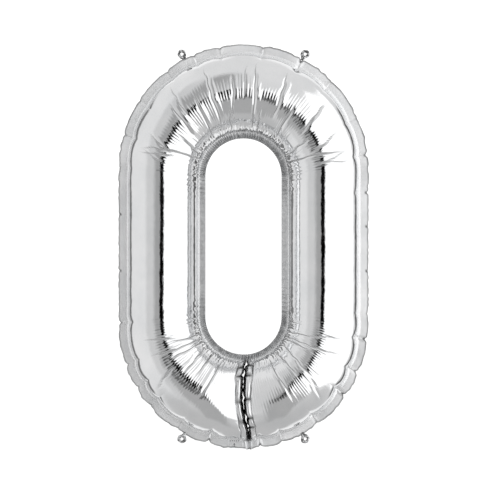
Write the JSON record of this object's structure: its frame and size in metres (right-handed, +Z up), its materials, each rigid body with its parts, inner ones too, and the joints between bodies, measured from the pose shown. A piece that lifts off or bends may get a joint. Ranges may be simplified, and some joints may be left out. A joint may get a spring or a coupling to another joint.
{
  "type": "foil number balloon",
  "caption": "Inflated foil balloon shaped as the figure 0, with sealed flanges, hanging tabs with eyelets, a slit end seal and a self-sealing filling valve.",
  "frame": {"origin": "centre of the inflated figure, in the plane of its seals", "axes": "+X to the right of the figure seen from the front, -Y out of the front face, +Z up the figure"},
  "size_m": [0.21, 0.0714, 0.34],
  "materials": {
    "silver_film": "mirror-bright metallised film, creased",
    "valve_film": "thin milky polyethylene film"
  },
  "bodies": {
    "envelope": {"front_panel": "silver_film", "back_panel": "silver_film", "valve_front_film": "valve_film", "valve_back_film": "valve_film"},
    "tab_top_left": {"tab_top_left": "silver_film"},
    "tab_top_right": {"tab_top_right": "silver_film"},
    "tab_bottom_left": {"tab_bottom_left": "silver_film"},
    "tab_bottom_right": {"tab_bottom_right": "silver_film"},
    "valve_front_flap": {"valve_front_flap": "valve_film"},
    "valve_back_flap": {"valve_back_flap": "valve_film"}
  },
  "joints": [
    {"name": "tab_top_left_fold", "type": "hinge", "parent": "envelope", "child": "tab_top_left", "pos_m": [-0.04978, 0, 0.15785], "axis": [0.8813, 0, 0.4726], "range_deg": [-90, 90], "stiffness_Nm_per_rad": 0.000004},
    {"name": "tab_top_right_fold", "type": "hinge", "parent": "envelope", "child": "tab_top_right", "pos_m": [0.04978, 0, 0.15785], "axis": [0.8813, 0, -0.4726], "range_deg": [-90, 90], "stiffness_Nm_per_rad": 0.000004},
    {"name": "tab_bottom_left_fold", "type": "hinge", "parent": "envelope", "child": "tab_bottom_left", "pos_m": [-0.04978, 0, -0.15785], "axis": [-0.8813, 0, 0.4726], "range_deg": [-90, 90], "stiffness_Nm_per_rad": 0.000004},
    {"name": "tab_bottom_right_fold", "type": "hinge", "parent": "envelope", "child": "tab_bottom_right", "pos_m": [0.04978, 0, -0.15785], "axis": [-0.8813, 0, -0.4726], "range_deg": [-90, 90], "stiffness_Nm_per_rad": 0.000004},
    {"name": "valve_front_opening", "type": "hinge", "parent": "envelope", "child": "valve_front_flap", "pos_m": [-0.0077, -0.00013, -0.1595], "axis": [1, 0, 0], "range_deg": [0, 4], "stiffness_Nm_per_rad": 0.00002},
    {"name": "valve_back_opening", "type": "hinge", "parent": "envelope", "child": "valve_back_flap", "pos_m": [-0.0077, 0.00013, -0.1595], "axis": [1, 0, 0], "range_deg": [-4, 0], "stiffness_Nm_per_rad": 0.00002}
  ],
  "couplings": [
    {"joint": "valve_back_opening", "follows": "valve_front_opening", "ratio": -1}
  ]
}
